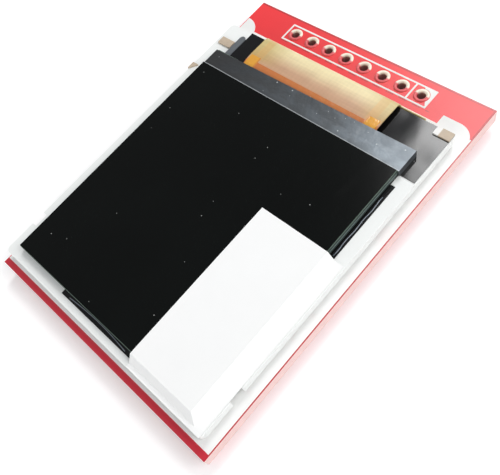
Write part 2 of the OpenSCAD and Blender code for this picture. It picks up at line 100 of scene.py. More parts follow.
class ModuleColours(bpy.types.PropertyGroup):
    """Colours of the module's materials."""

    mask: colour("Solder mask", "Red lacquer of the board", tint(243, 36, 44))
    mask_dark: colour("Mask over bare board", "Lacquer where no copper lies under it", tint(190, 22, 32))
    mask_foot: colour("Mask at the foot", "Thinner lacquer on the strip past the print", tint(198, 30, 50))
    board_core: colour("Board core", "Cut glass-fibre edge of the board", tint(246, 208, 204))
    core_fibre: colour("Board core, layers", "Paler layers in the cut edge", tint(252, 228, 222))
    core_speck: colour("Board core, specks", "Specks of lacquer on the cut edge", tint(214, 120, 122))
    tin: colour("Tinned copper", "Plating of the pads and vias", tint(240, 230, 208))
    # Painted reflections on the tin of the header pads: cream on the header side of a hole, pink on the other
    # side
    pad_cream_reflection: colour("Header pad, bright side", "Tin on the header side of a hole", tint(252, 244, 226))
    pad_pink_reflection: colour("Header pad, red side", "Lacquered side of a hole", tint(226, 96, 100))
    # Painted shade on the wall inside a header hole
    pad_bore_shade: colour("Header hole", "Wall inside a header hole", tint(128, 44, 46))
    ink: colour("White ink", "Printed ink", tint(246, 246, 244))
    moulding: colour("Housing", "White moulding round the screen", tint(243, 245, 243))
    # Painted shade on the housing beside the left-hand side of the glass
    moulding_painted_shade: colour("Glue line", "Line where the housing meets the glass", tint(158, 170, 158))
    screen: colour("Screen", "Front polariser", tint(6, 8, 7))
    screen_cloud: colour("Screen, clouds", "Paler parts of the front polariser", tint(10, 13, 12))
    screen_dust: colour("Screen, dust", "Dust on the front polariser", tint(215, 218, 214))
    glass: colour("Glass", "Face of the panel glass beside the screen", tint(128, 150, 136))
    glass_edge: colour("Glass edge", "Cut edge of the panel glass", tint(44, 54, 52))
    glass_seam_highlight: colour("Glass seam", "Line where the two sheets of glass meet", tint(150, 166, 176))
    # Painted highlight: a pale bluish line along the cut edge of the glass
    black: colour("Black tape", "Tape under and beside the glass", tint(13, 13, 15))
    tape_dust: colour("Black tape, dust", "Dust on the black tape", tint(190, 192, 190))
    # Pale bluish colour of the raised edges: a painted highlight on the black tape
    tape_edge_highlight: colour("Black tape, edge", "Raised edge of the black tape", tint(118, 126, 136))
    # The grey flap stands for a reflection of the sky in the glossy black tape: painted reflection
    flap: colour("Grey flap", "Flap beside the black tape", tint(96, 101, 106))
    # The tape's dark-to-light change is partly a painted reflection
    cover_reflection_dark: colour("Cover tape, left", "Grey tape over the chip, darker end", tint(32, 34, 36))
    cover_reflection_light: colour("Cover tape, right", "Grey tape over the chip, lighter end", tint(146, 157, 166))
    # Real dust, and a painted highlight along the near edge of the tape
    cover_dust_and_highlight: colour("Cover tape, edge", "Dust and near edge of the grey tape", tint(214, 220, 222))
    # Gold at the bend, partly a painted reflection of the bend
    flex_gold_and_reflection: colour("Flex, bend", "Flex tail where it turns down", tint(242, 226, 178))
    flex_tan: colour("Flex, middle", "Flex tail over its traces", tint(200, 158, 126))
    flex_orange: colour("Flex, bond", "Flex tail beside the ledge", tint(205, 128, 66))
    flex_side: colour("Flex, sides", "Flex tail towards its two sides", tint(190, 166, 88))
    flex_land: colour("Flex, lands", "Wider copper under the film", tint(222, 168, 96))
    flex_foot: colour("Flex, foot", "Flex tail near the board", tint(222, 176, 60))
    sealant: colour("Sealant", "Cured drops at the ends of the bead", tint(226, 160, 52))
    sealant_deep: colour("Sealant, bead", "Darker parts of the bead", tint(188, 104, 52))
    tan: colour("Tan film", "Small ends of assembly tape", tint(196, 178, 156))
    tan_cut: colour("Tan film, cut end", "Bright end of the assembly tape", tint(246, 246, 244))
    label: colour("Label", "Blank label stock", tint(250, 250, 249))
    foam: colour("Foam", "Foam tape under the housing", tint(46, 46, 48))
    white_film: colour("White film", "Reflector and diffuser", tint(240, 240, 238))
    prism: colour("Ribbed film", "Films with fine ribs", tint(226, 232, 238))
    acrylic: colour("Light guide", "Clear sheet behind the films", tint(214, 232, 236))
    lamp_resin: colour("Lamps", "Resin of the small lamps", tint(240, 226, 150))
    strip_film: colour("Lamp strip", "Film that carries the lamps", tint(206, 150, 70))
    silicon: colour("Driver chip", "Bare chip on the ledge", tint(120, 124, 132))
    gold: colour("Gold pads", "Pads under the flex tail", tint(222, 178, 98))
    solder: colour("Solder", "Joints of the flex tail", tint(205, 207, 210))
    legs: colour("Legs", "Legs and end caps of the small parts", tint(205, 207, 212))
    package: colour("Packages", "Moulding of the three-leg parts", tint(38, 38, 40))
    ceramic_tan: colour("Capacitors", "Tan ceramic", tint(180, 146, 108))
    ceramic_black: colour("Resistors", "Black ceramic", tint(30, 30, 33))


class ModuleSizes(bpy.types.PropertyGroup):
    """Sizes of the fittings that the solids leave to the finish."""

    trace_width: length("Trace width", "Width of a copper trace under the mask", 0.26)
    trace_rise: length("Trace rise", "How far the mask stands up over a trace", 0.018)
    via_width: length("Via width", "Outer width of a via", 0.62)
    print_width: length("Printed line", "Width of a printed line on the back", 0.15)
    print_gap: length("Print clearance", "Distance from a part's pads to its printed outline", 0.22)
    print_rise: length("Print rise", "Thickness of the print on the back", 0.03)
    pad_reach: length("Pad reach", "Farthest that a pad lies from the middle of its own part", 1.9)
    ridge_width: length("Ridge width", "Width of the raised edge of the black tape", 0.11)
    ridge_rise: length("Ridge rise", "Height of the raised edge of the black tape", 0.07)
    rim_width: length("Rim width", "Width of the raised tin round a header hole", 0.34)
    rim_rise: length("Rim rise", "Height of the raised tin round a header hole", 0.08)
    flap_width: length("Flap width", "Width of the grey flap beside the black tape", 0.8)
    flap_length: length("Flap length", "Length of the grey flap beside the black tape", 3.3)
    flap_rise: length("Flap rise", "Thickness of the grey flap beside the black tape", 0.14)
    edge_round: length("Edge round", "Rounding of moulded edges", 0.07)
    chip_round: length("Chip round", "Rounding of the small parts on the back", 0.05)
    floor_size: length("Floor size", "Width of the floor's flat part", 1500)
    wall_height: length("Wall height", "Height of the round wall behind the module", 750)
    camera_place: bpy.props.FloatVectorProperty(
        name="Camera place", description="Place of the camera", size=3, precision=5,
        default=(33.5206 * MM, -16.2282 * MM, 55.1521 * MM), subtype="TRANSLATION", unit="LENGTH",
    )
    camera_turn: bpy.props.FloatVectorProperty(
        name="Camera turn", description="Turn of the camera", size=3, subtype="EULER", unit="ROTATION",
        default=tuple(math.radians(a) for a in (27.53490, 13.36409, 42.30188)),
    )
    camera_lens: bpy.props.FloatProperty(
        name="Lens", description="Focal length on a 36 mm sensor", default=43.9265, min=1, unit="CAMERA"
    )


class Signal:
    """One output of a node, so that shader maths reads as plain maths."""

    def __init__(self, paint, socket):
        self.paint = paint
        self.socket = socket

    def _math(self, operation, first, second=0.0):
        return self.paint.add("Math", {"operation": operation}, {0: first, 1: second})

    def __add__(self, other):
        return self._math("ADD", self, other)

    def __sub__(self, other):
        return self._math("SUBTRACT", self, other)

    def __mul__(self, other):
        return self._math("MULTIPLY", self, other)

    def __rsub__(self, other):
        return self._math("SUBTRACT", other, self)

    def __abs__(self):
        return self._math("ABSOLUTE", self)

    def __mod__(self, other):
        return self._math("FLOORED_MODULO", self, other)

    def __or__(self, other):
        """The greater of two masks."""
        return self._math("MAXIMUM", self, other)

    __radd__ = __add__
    __rmul__ = __mul__

    def rise(self, low, high):
        """0 below low and 1 above high, with a smooth step between. It falls where low is above high."""
        return self.paint.add(
            "MapRange",
            {"interpolation_type": "SMOOTHSTEP"},
            {"Value": self, "From Min": min(low, high), "From Max": max(low, high),
             "To Min": float(low > high), "To Max": float(low < high)},
        )

    def band(self, low, high, soft):
        """1 from low to high, fading over soft at both sides."""
        return self.rise(low - soft, low + soft) * self.rise(high + soft, high - soft)


class Paint:
    """A material, built from expressions in millimetres of the module's own frame."""

    def __init__(self, name):
        self.material = bpy.data.materials.new(name)
        self.material.use_nodes = True
        self.tree = self.material.node_tree
        self.tree.nodes.clear()
        place = self.add("TexCoord", output="Object")
        self.place = self.add("VectorMath", {"operation": "SCALE"}, {0: place, "Scale": 1 / MM})
        self.x, self.y, self.z = self.parts(self.place)

    def add(self, kind, settings=None, sockets=None, output=0):
        """Adds a node of a kind, with its settings first and then the values or links of its sockets."""
        made = self.tree.nodes.new("ShaderNode" + kind)
        for name, value in (settings or {}).items():
            setattr(made, name, value)
        for name, value in (sockets or {}).items():
            if isinstance(value, Signal):
                self.tree.links.new(value.socket, made.inputs[name])
            else:
                made.inputs[name].default_value = value
        return Signal(self, made.outputs[output])

    def parts(self, vector):
        made = self.add("SeparateXYZ", sockets={0: vector}).socket.node
        return [Signal(self, made.outputs[i]) for i in range(3)]

    def up(self):
        """How far the surface faces up, from -1 to 1."""
        return self.parts(self.add("NewGeometry", output="Normal"))[2]

    def noise(self, size, detail=2.0, stretch=(1, 1, 1)):
        """Cloudy noise from 0 to 1 whose lumps are about size across, in millimetres."""
        place = self.add("VectorMath", {"operation": "MULTIPLY"}, {0: self.place, 1: stretch})
        return self.add(
            "TexNoise", sockets={"Vector": place, "Scale": 1 / size, "Detail": detail, "Roughness": 0.55}
        )

    def flecks(self, spacing, size, share, flat=True):
        """Small spots of a size, in a share of the cells of a grid that is flat or has depth."""
        kind = {"feature": "F1", "voronoi_dimensions": "2D" if flat else "3D"}
        cells = {"Vector": self.place, "Scale": 1 / spacing, "Randomness": 1.0}
        near = self.add("TexVoronoi", kind, cells, "Distance")
        pick = self.parts(self.add("TexVoronoi", kind, cells, "Color"))[0]
        return near.rise(size / spacing, size / spacing * 0.6) * pick.rise(share, share - 0.01)

    def mix(self, mask, first, second):
        """The first colour where the mask is 0 and the second where it is 1."""
        pair = {0: mask, 6: _rgba(first), 7: _rgba(second)}
        return self.add("Mix", {"data_type": "RGBA"}, pair, 2)

    def lighten(self, shade, amount):
        """A colour made lighter or darker by a signal, where 1 leaves it."""
        start = shade if isinstance(shade, Signal) else shade[:3]
        return self.add("VectorMath", {"operation": "SCALE"}, {0: start, "Scale": amount})

    def done(self, base, roughness, metallic=0.0, height=None, depth=0.0, coat=None, **fixed):
        """Ends the material. Height is a signal from 0 to 1, and depth its size in millimetres.

        Fixed holds the values of other sockets, by their names with underscores for spaces.
        """
        sockets = {"Base Color": _rgba(base), "Roughness": roughness, "Metallic": metallic}
        if coat is not None:
            sockets["Coat Weight"] = coat
        if height is not None:
            sockets["Normal"] = self.add(
                "Bump", sockets={"Strength": 1.0, "Distance": depth * MM, "Height": height}, output="Normal"
            )
        for name, value in fixed.items():
            sockets[name.replace("_", " ").title().replace("Ior", "IOR")] = value
        self.add_output(self.add("BsdfPrincipled", sockets=sockets))
        return self.material

    def add_output(self, shader):
        """Gives the material its surface."""
        end = self.tree.nodes.new("ShaderNodeOutputMaterial")
        self.tree.links.new(shader.socket, end.inputs["Surface"])


def _rgba(value):
    """A colour's value with full alpha, or a signal as it is."""
    return value if isinstance(value, Signal) else (*value[:3], 1.0)


def dress(material, *names):
    """Gives solids of the frame their material."""
    for name in names:
        solid = NODES[name].data
        solid.materials.clear()
        solid.materials.append(material)


def soften(name, width):
    """Rounds a solid's sharp edges a little."""
    solid = NODES[name]
    weld = solid.modifiers.new("join corners", "WELD")
    weld.merge_threshold = 0.001 * MM
    rounding = solid.modifiers.new("round edges", "BEVEL")
    rounding.width = width
    rounding.segments = 2
    rounding.limit_method = "ANGLE"
    rounding.angle_limit = math.radians(40)


def solids_of(name):
    """The box of each separate solid in a node, as (low, high), from left to right."""
    shape = bmesh.new()
    shape.from_mesh(NODES[name].data)
    bmesh.ops.remove_doubles(shape, verts=shape.verts, dist=0.0005 * MM)
    left = set(shape.verts)
    boxes = []
    while left:
        group, edge = set(), [left.pop()]
        while edge:
            vertex = edge.pop()
            group.add(vertex)
            for line in vertex.link_edges:
                other = line.other_vert(vertex)
                if other in left:
                    left.discard(other)
                    edge.append(other)
        low = Vector([min(vertex.co[i] for vertex in group) for i in range(3)])
        high = Vector([max(vertex.co[i] for vertex in group) for i in range(3)])
        boxes.append((low, high))
    shape.free()
    return sorted(boxes, key=lambda box: (round(box[0].x, 6), round(box[0].y, 6)))


class Shape:
    """Collects the points and faces of one new piece."""

    def __init__(self):
        self.points = []
        self.faces = []

    def sweep(self, path, section, closed=False):
        """Runs a section of (sideways, up) points along a flat path of (x, y, z) points."""
        path = [Vector(p) for p in path]
        count = len(path)
        start = len(self.points)
        for i, here in enumerate(path):
            before = path[i - 1] if (i or closed) else None
            after = path[(i + 1) % count] if (i < count - 1 or closed) else None
            steps = ((before, here), (here, after))
            ways = [(b - a).xy.normalized() for a, b in steps if a is not None and b is not None]
            way = (ways[0] + ways[-1]).normalized()
            stretch = 1 / max(0.5, way.dot(ways[0]))
            side = Vector((-way.y, way.x, 0)) * stretch
            self.points += [here + side * s + Vector((0, 0, u)) for s, u in section]
        ring = len(section)
        for i in range(count if closed else count - 1):
            a, b = start + i * ring, start + (i + 1) % count * ring
            self.faces += [(a + j, a + (j + 1) % ring, b + (j + 1) % ring, b + j) for j in range(ring)]
        if not closed:
            last = start + (count - 1) * ring
            self.faces += [tuple(range(start, start + ring))[::-1], tuple(range(last, last + ring))]

    def ring(self, centre, outer, inner, rise, sides=20):
        """A flat ring standing up from a place by rise."""
        path = [(x, y, centre.z) for x, y in circle(centre, (outer + inner) / 2, sides)]
        self.sweep(path, flat_section(outer - inner, rise), closed=True)

    def slab(self, outline, low, high):
        """A flat piece with an outline of (x, y) points, from one height to another."""
        start, count = len(self.points), len(outline)
        self.points += [Vector((x, y, z)) for z in (low, high) for x, y in outline]
        under = range(start, start + count)
        self.faces += [tuple(under)[::-1], tuple(i + count for i in under)]
        for i in under:
            after = start + (i - start + 1) % count
            self.faces.append((i, after, after + count, i + count))

    def made(self, name, material, slot, smooth=False):
        """Makes the piece, which rides on the module and takes its finish from a material. The slot is not
        used.
        """
        if not self.faces:
            raise RuntimeError(f"{name} has no faces")
        mesh = bpy.data.meshes.new(name)
        mesh.from_pydata([tuple(p) for p in self.points], [], self.faces)
        shape = bmesh.new()
        shape.from_mesh(mesh)
        bmesh.ops.recalc_face_normals(shape, faces=shape.faces)
        shape.to_mesh(mesh)
        shape.free()
        mesh.materials.append(material)
        for face in mesh.polygons:
            face.use_smooth = smooth
        made = bpy.data.objects.new(name, mesh)
        bpy.context.scene.collection.objects.link(made)
        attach(made, "root")
        return made


def circle(centre, radius, sides):
    """Points (x, y) of a circle."""
    turns = [math.tau * i / sides for i in range(sides)]
    return [(centre.x + radius * math.cos(a), centre.y + radius * math.sin(a)) for a in turns]


def flat_section(width, rise):
    """A rectangle that stands up from 0 by rise."""
    low, high = sorted((0, rise))
    return [(-width / 2, low), (width / 2, low), (width / 2, high), (-width / 2, high)]


def round_section(width, rise):
    """Half an ellipse that stands up from 0 by rise."""
    return [(width / 2 * math.cos(a), rise * math.sin(a)) for a in (math.pi * i / 6 for i in range(7))]


def jog(start, end, turn_y, z):
    """A trace that runs straight, crosses over at 45 degrees below turn_y and runs straight again."""
    across = abs(end[0] - start[0])
    way = -1 if end[1] < start[1] else 1
    path = [(start[0], start[1], z)]
    if across > 0.02 * MM:
        path += [(start[0], turn_y, z), (end[0], turn_y + way * across, z)]
    return path + [(end[0], end[1], z)]


# Materials


def mask_paint(colours):
    """Red lacquer over copper, with the pale cut core on the board's edges."""
    board_low, board_high = (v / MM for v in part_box("pcb"))
    print_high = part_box("print_field")[1] / MM
    paint = Paint("red_mask")
    cloud = paint.noise(7)
    grain = paint.noise(0.16, 3)
    red = paint.mix(cloud.rise(0.3, 0.75), colours.mask, paint.lighten(colours.mask, 0.93))
    # Bare board shows as a thin line at two edges and as a broken line beside the flex tail
    edge = paint.x.rise(board_high.x - 0.3, board_high.x - 0.16)
    edge = edge | paint.y.rise(board_high.y - 0.28, board_high.y - 0.16)
    dash = (paint.x % 1.7).rise(1.05, 1.0) * paint.y.band(print_high.y - 0.72, print_high.y - 0.6, 0.03)
    dash = dash * abs(paint.x).rise(10.8, 10.4)
    red = paint.mix(edge | dash, red, colours.mask_dark)
    red = paint.mix(paint.y.rise(board_low.y + 0.8, board_low.y + 0.6), red, colours.mask_foot)
    side = abs(paint.up()).rise(0.6, 0.3)
    layers = (paint.z % 0.2).band(0.05, 0.13, 0.03)
    fibre = paint.noise(0.09, 3, (1, 1, 2.5))
    core = paint.mix(layers * 0.5, colours.board_core, colours.core_fibre)
    core = paint.lighten(core, 0.8 + 0.36 * fibre)
    specks = paint.flecks(0.34, 0.1, 0.35, flat=False)
    core = paint.mix(specks * 0.7, core, colours.core_speck)
    return paint.done(
        paint.mix(side, red, core), (1 - side) * (0.33 + 0.08 * grain) + side * 0.75,
        height=(1 - side) * grain + side * fibre, depth=0.008,
        coat=(1 - side) * 0.5, coat_roughness=0.36, specular_ior_level=0.5,
    )


def raised_mask_paint(colours):
    """Red lacquer where it stands up over a trace."""
    paint = Paint("red_mask_raised")
    cloud = paint.noise(7)
    grain = paint.noise(0.16, 3)
    return paint.done(
        paint.lighten(colours.mask, 0.82 + 0.1 * cloud), 0.3 + 0.08 * grain,
        height=grain, depth=0.006, coat=0.4, coat_roughness=0.25,
    )


def metal_paint(name, shade, rough, metallic, size=0.25, depth=0.01):
    """Metal with clouds and grain of a given size."""
    paint = Paint(name)
    cloud = paint.noise(size * 3)
    grain = paint.noise(size * 0.4, 3)
    return paint.done(
        paint.lighten(shade, 0.86 + 0.24 * cloud), rough + 0.16 * grain, metallic,
        height=cloud * 0.7 + grain * 0.3, depth=depth,
    )


def pad_paint(colours):
    """Header pads: painted reflections, cream on the header side of a hole and pink on the other side, and
    painted shade in the hole.
    """
    low, high = (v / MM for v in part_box("header_pads"))
    row = (low.y + high.y) / 2
    paint = Paint("header_pad")
    cloud = paint.noise(0.5)
    grain = paint.noise(0.1, 3)
    underside = paint.up().rise(-0.2, -0.5)
    # Painted reflection: cream on the header side of the row, pink on the other side
    cream = (paint.y + cloud * 0.3 - 0.15).rise(row - 0.05, row + 0.2)
    shade = paint.mix(cream, colours.pad_pink_reflection, colours.pad_cream_reflection)
    shade = paint.mix(underside, shade, colours.tin)
    # Painted shade darkens the wall inside each hole
    bore_shade = paint.z.band(low.z + 0.2, high.z - 0.2, 0.1)
    shade = paint.mix(bore_shade * 0.8, shade, colours.pad_bore_shade)
    return paint.done(
        paint.lighten(shade, 0.88 + 0.2 * cloud), 0.3 + 0.14 * grain, underside * 0.5 + 0.05,
        height=cloud, depth=0.02,
    )


def ink_paint(colours):
    """White ink with a little of the red showing through."""
    paint = Paint("white_ink")
    cloud = paint.noise(3.5, 3)
    grain = paint.noise(0.12, 3)
    red_through = (1 - cloud.rise(0.28, 0.42)) * 0.05
    shade = paint.mix(red_through, paint.lighten(colours.ink, 0.965 + 0.05 * cloud), colours.mask)
    return paint.done(shade, 0.5 + 0.12 * grain, height=grain, depth=0.006)


def moulding_paint(colours):
    """Satin white plastic, with a painted grey-green shade at the left-hand side of the glass."""
    glass_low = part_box("thin_film_glass")[0] / MM
    screen_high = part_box("front_polariser")[1] / MM
    paint = Paint("white_moulding")
    cloud = paint.noise(5)
    grain = paint.noise(0.2, 2)
    # Painted shade: a grey-green strip on the top of the housing, beside the glass
    strip = paint.x.band(glass_low.x - 0.5, glass_low.x + 0.2, 0.035)
    strip = strip * paint.y.band(glass_low.y + 0.5, screen_high.y + 0.3, 0.1)
    strip = strip * paint.up().rise(0.5, 0.9)
    shade = paint.lighten(colours.moulding, 0.97 + 0.05 * cloud)
    shade = paint.mix(strip * (0.8 + 0.2 * cloud), shade, colours.moulding_painted_shade)
    return paint.done(shade, 0.38 + 0.1 * grain, height=grain, depth=0.004)


def screen_paint(colours):
    """Near-black hard-coated film with a few specks of dust."""
    paint = Paint("polariser")
    cloud = paint.noise(14, 2)
    grain = paint.noise(0.25, 3)
    dust = paint.flecks(2.6, 0.05, 0.2) | paint.flecks(4.1, 0.07, 0.16)
    wipe = paint.noise(1.6, 3, (1, 0.25, 1)).rise(0.55, 0.8)
    shade = paint.mix(cloud.rise(0.35, 0.7) * 0.5, colours.screen, colours.screen_cloud)
    shade = paint.mix(dust * 0.45, shade, colours.screen_dust)
    rough = 0.13 + 0.05 * grain + 0.05 * wipe + 0.5 * dust
    return paint.done(shade, rough, height=cloud, depth=0.02, ior=1.26)


def glass_paint(colours):
    """Panel glass, whose dark cut edge has a painted highlight: a pale bluish line at the height where its
    two sheets meet.
    """
    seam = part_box("thin_film_glass")[1].z / MM
    paint = Paint("panel_glass")
    cloud = paint.noise(1.2, 3)
    chips = paint.noise(0.08, 2)
    side = abs(paint.up()).rise(0.7, 0.3)
    # Painted highlight along the cut edge, at the seam's height
    line = paint.z.band(seam - 0.05, seam + 0.02, 0.02) * (0.3 + 0.5 * chips)
    edge = paint.mix(line, paint.lighten(colours.glass_edge, 0.6 + 0.8 * chips), colours.glass_seam_highlight)
    shade = paint.mix(side, paint.lighten(colours.glass, 0.8 + 0.2 * cloud), edge)
    return paint.done(shade, 0.12 + 0.4 * side, height=chips * side, depth=0.01, ior=1.5)


def tape_paint(colours):
    """Glossy black tape, gently uneven, with fine specks."""
    paint = Paint("black_tape")
    wave = paint.noise(4.5, 1)
    grain = paint.noise(0.2, 3)
    dust = paint.flecks(1.5, 0.05, 0.16)
    shade = paint.mix(dust * 0.6, paint.lighten(colours.black, 0.8 + 0.5 * grain), colours.tape_dust)
    return paint.done(
        shade, 0.1 + 0.06 * grain + 0.4 * dust, height=wave, depth=0.16,
        coat=(paint.x.rise(1, 8) * 0.35 + 0.08) * (1 - dust), coat_roughness=0.06, specular_ior_level=0.3,
    )


def cover_paint(colours):
    """Grey tape over the chip: dark and blotched at the left, light at the right, partly a painted
    reflection, with a painted highlight along its near edge.
    """
    low, high = (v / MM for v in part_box("ledge_tape"))
    paint = Paint("grey_tape")
    # The dark-to-light change from left to right is partly a painted reflection
    share = paint.x.rise(low.x - 2, high.x + 3) * 0.4 + paint.x.rise(3, high.x + 0.5) * 0.6
    blotch = paint.noise(1.5, 2, (0.6, 1, 1)).rise(0.44, 0.62)
    shade = paint.mix(share, colours.cover_reflection_dark, colours.cover_reflection_light)
    shade = paint.lighten(shade, 1.0 - 0.45 * blotch * (1 - 0.7 * share))
    chip_line = paint.y.band(low.y + 0.5, low.y + 1.25, 0.1) * 0.1
    dust = paint.flecks(1.0, 0.05, 0.2) | paint.flecks(2.4, 0.09, 0.25)
    # Painted highlight along the near edge of the tape
    near_edge_highlight = paint.y.rise(low.y + 0.13, low.y + 0.07) * 0.6
    shade = paint.mix(dust * 0.75 | near_edge_highlight, paint.lighten(shade, 1.0 + chip_line), colours.cover_dust_and_highlight)
    side = paint.up().rise(0.5, 0.2)
    shade = paint.mix(side * 0.85, shade, colours.black)
    return paint.done(
        shade, 0.3 + 0.12 * blotch, height=paint.noise(0.9, 2), depth=0.05,
        coat=0.25 * (1 - dust), coat_roughness=0.2,
    )


def flex_paint(colours):
    """Amber film over fine copper traces: orange at the ledge, tan in the middle and gold at the bend, where
    the gold is partly a painted reflection.
    """
    low, high = (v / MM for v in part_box("flex_tail"))
    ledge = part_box("thin_film_glass")[1] / MM
    paint = Paint("amber_film")
    along = paint.y + (paint.noise(2.0) * 0.5 - 0.25)
    shade = paint.mix(along.rise(ledge.y + 0.35, ledge.y + 0.9), colours.flex_orange, colours.flex_tan)
    # Gold towards the bend is partly a painted reflection of the curved film
    shade = paint.mix(along.rise(high.y - 3.2, high.y - 0.8), shade, colours.flex_gold_and_reflection)
    middle = (low.x + high.x) / 2 - 1
    sides = abs(paint.x - middle).rise(4.5, 9.5) * along.rise(ledge.y + 0.6, ledge.y + 1.6)
    shade = paint.mix(sides * 0.65, shade, colours.flex_side)
    streak = paint.noise(0.5, 3, (0.12, 1.6, 1))
    shade = paint.lighten(shade, 0.86 + 0.28 * streak)
    trace = abs((paint.x % 0.5) - 0.25).rise(0.1, 0.14)
    fade = along.rise(ledge.y + 0.5, ledge.y + 1.0) * along.rise(high.y - 0.2, high.y - 1.0)
    shade = paint.lighten(shade, 1.0 - 0.025 * trace * fade)
    # Wider copper lands show through the film at both sides
    land = paint.x.band(low.x + 0.7, low.x + 1.7, 0.08) | paint.x.band(high.x - 4.9, high.x - 3.8, 0.08)
    shade = paint.mix(land * 0.35, shade, colours.flex_land)
    foot = paint.z.rise(low.z + 0.9, low.z + 0.3)
    shade = paint.mix(foot * 0.5, shade, colours.flex_foot)
    grain = paint.noise(0.15, 2)
    return paint.done(
        paint.lighten(shade, 0.93 + 0.12 * paint.noise(1.1)), 0.26 + 0.1 * grain,
        height=trace * 0.15 + streak, depth=0.008, coat=0.3, coat_roughness=0.12,
    )


def sealant_paint(colours):
    """Amber bead, with a thicker yellow drop at each end."""
    low, high = (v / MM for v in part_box("flex_seal"))
    paint = Paint("amber_sealant")
    cloud = paint.noise(0.7)
    ends = paint.x.rise(low.x + 1.6, low.x + 1.1) | paint.x.rise(high.x - 1.6, high.x - 1.1)
    shade = paint.mix(ends, paint.mix(cloud, colours.flex_orange, colours.sealant_deep), colours.sealant)
    return paint.done(
        paint.lighten(shade, 0.88 + 0.22 * cloud), 0.16 + 0.1 * cloud,
        height=cloud, depth=0.05, coat=0.6, coat_roughness=0.08,
    )


def tan_paint(colours):
    """Tan film that turns bright towards its cut left-hand end."""
    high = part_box("corner_tabs")[1] / MM
    paint = Paint("tan_film")
    cut = paint.x.band(high.x - 2.1, high.x - 1.3, 0.08)
    cloud = paint.noise(0.5)
    shade = paint.mix(cut * 0.9, paint.lighten(colours.tan, 0.85 + 0.25 * cloud), colours.tan_cut)
    return paint.done(shade, 0.35 + 0.2 * cloud, height=cloud, depth=0.02)


def label_paint(colours):
    """Blank paper label."""
    paint = Paint("label_paper")
    fibre = paint.noise(0.22, 4, (1, 0.5, 1))
    cloud = paint.noise(6)
    shade = paint.lighten(colours.label, 0.96 + 0.05 * cloud)
    return paint.done(shade, 0.55 + 0.12 * fibre, height=fibre + cloud * 0.8, depth=0.01)


def plain_paint(name, shade, rough, size, depth, contrast=0.16, coat=None):
    """A quiet surface with clouds and grain of a given size."""
    paint = Paint(name)
    cloud = paint.noise(size * 4)
    grain = paint.noise(size, 3)
    return paint.done(
        paint.lighten(shade, 1 - contrast / 2 + contrast * cloud), rough + 0.12 * grain,
        height=grain, depth=depth, coat=coat,
    )


def foam_paint(colours):
    """Black foam with open cells."""
    paint = Paint("black_foam")
    cells = paint.add("TexVoronoi", {"feature": "F1"}, {"Vector": paint.place, "Scale": 7.0}, "Distance")
    return paint.done(paint.lighten(colours.foam, 0.7 + 0.6 * cells), 0.85, height=cells, depth=0.05)


def ribbed_paint(colours):
    """Clear film whose face has fine parallel ribs."""
    paint = Paint("optical_film")
    ribs = abs((paint.x % 0.1) - 0.05) * 20.0
    shade = paint.lighten(colours.prism, 0.9 + 0.1 * ribs)
    return paint.done(shade, 0.2 + 0.05 * ribs, height=ribs, depth=0.02)


# Operators


class MODULE_OT_board(bpy.types.Operator):
    """Red board, its plated header holes and the white print"""

    bl_idname = "module.board"
    bl_label = "Board and print"

    def execute(self, context):
        colours = context.scene.module_colours
        dress(mask_paint(colours), "pcb")
        dress(pad_paint(colours), "header_pads")
        dress(metal_paint("tinned_copper", colours.tin, rough=0.32, metallic=0.45), "rear_pads")
        dress(ink_paint(colours), "print_field", "header_outline")
        return {"FINISHED"}


class MODULE_OT_traces(bpy.types.Operator):
    """Traces and vias that stand up under the lacquer on the back of the board"""

    bl_idname = "module.traces"
    bl_label = "Traces and vias"

    def execute(self, context):
        sizes, colours = context.scene.module_sizes, context.scene.module_colours
        holes, ends = solids_of("header_pads"), solids_of("rear_pads")
        if not holes or not ends:
            raise RuntimeError("the header pads or the rear pads are missing")
        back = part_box("pcb")[0].z
        section = flat_section(sizes.trace_width, -sizes.trace_rise)
        runs = Shape()
        self.header_runs(runs, holes, ends, back, section)
        vias = self.lower_runs(runs, min(end[0].y for end in ends), back, section)
        vias += [Vector((x * MM, y * MM, back)) for x, y in LONE_VIAS]
        rings = Shape()
        for place in vias:
            rings.ring(place, sizes.via_width / 2, sizes.via_width / 4, -1.6 * sizes.trace_rise)
        runs.made("trace_runs", raised_mask_paint(colours), "red_mask")
        finish = metal_paint("via_tin", colours.tin, rough=0.35, metallic=0.6)
        rings.made("via_rings", finish, "tinned_copper")
        return {"FINISHED"}

    def header_runs(self, runs, holes, ends, back, section):
        """A run from each header hole to one of the upper row of pads."""
        row = min(low.y for low, high in holes)
        top = max(high.y for low, high in ends)
        goals = sorted((low.x + high.x) / 2 for low, high in ends if high.y > top - 1.2 * MM)
        starts = sorted((low.x + high.x) / 2 for low, high in holes)
        for i, x in enumerate(starts):
            goal = goals[round(i * (len(goals) - 1) / (len(starts) - 1))]
            runs.sweep(jog((x, row), (goal, top), row - 0.6 * MM, back), section)

    def lower_runs(self, runs, pads_foot, back, section):
        """The runs below the small parts, which draw together a little. Gives the places of their vias."""
        narrowing, straight = 0.72, 3.2 * MM
        vias = []
        for i, x in enumerate(LOWER_RUNS):
            # The starts lie in three rows and the ends in four
            start = (x * MM, pads_foot - (1.2 + 0.9 * (i % 3)) * MM)
            end = (x * narrowing * MM, -(11 + 1.8 * (i % 4)) * MM)
            runs.sweep(jog(start, end, start[1] - straight, back), section)
            vias += [Vector((*start, back)), Vector((*end, back))]
        return vias


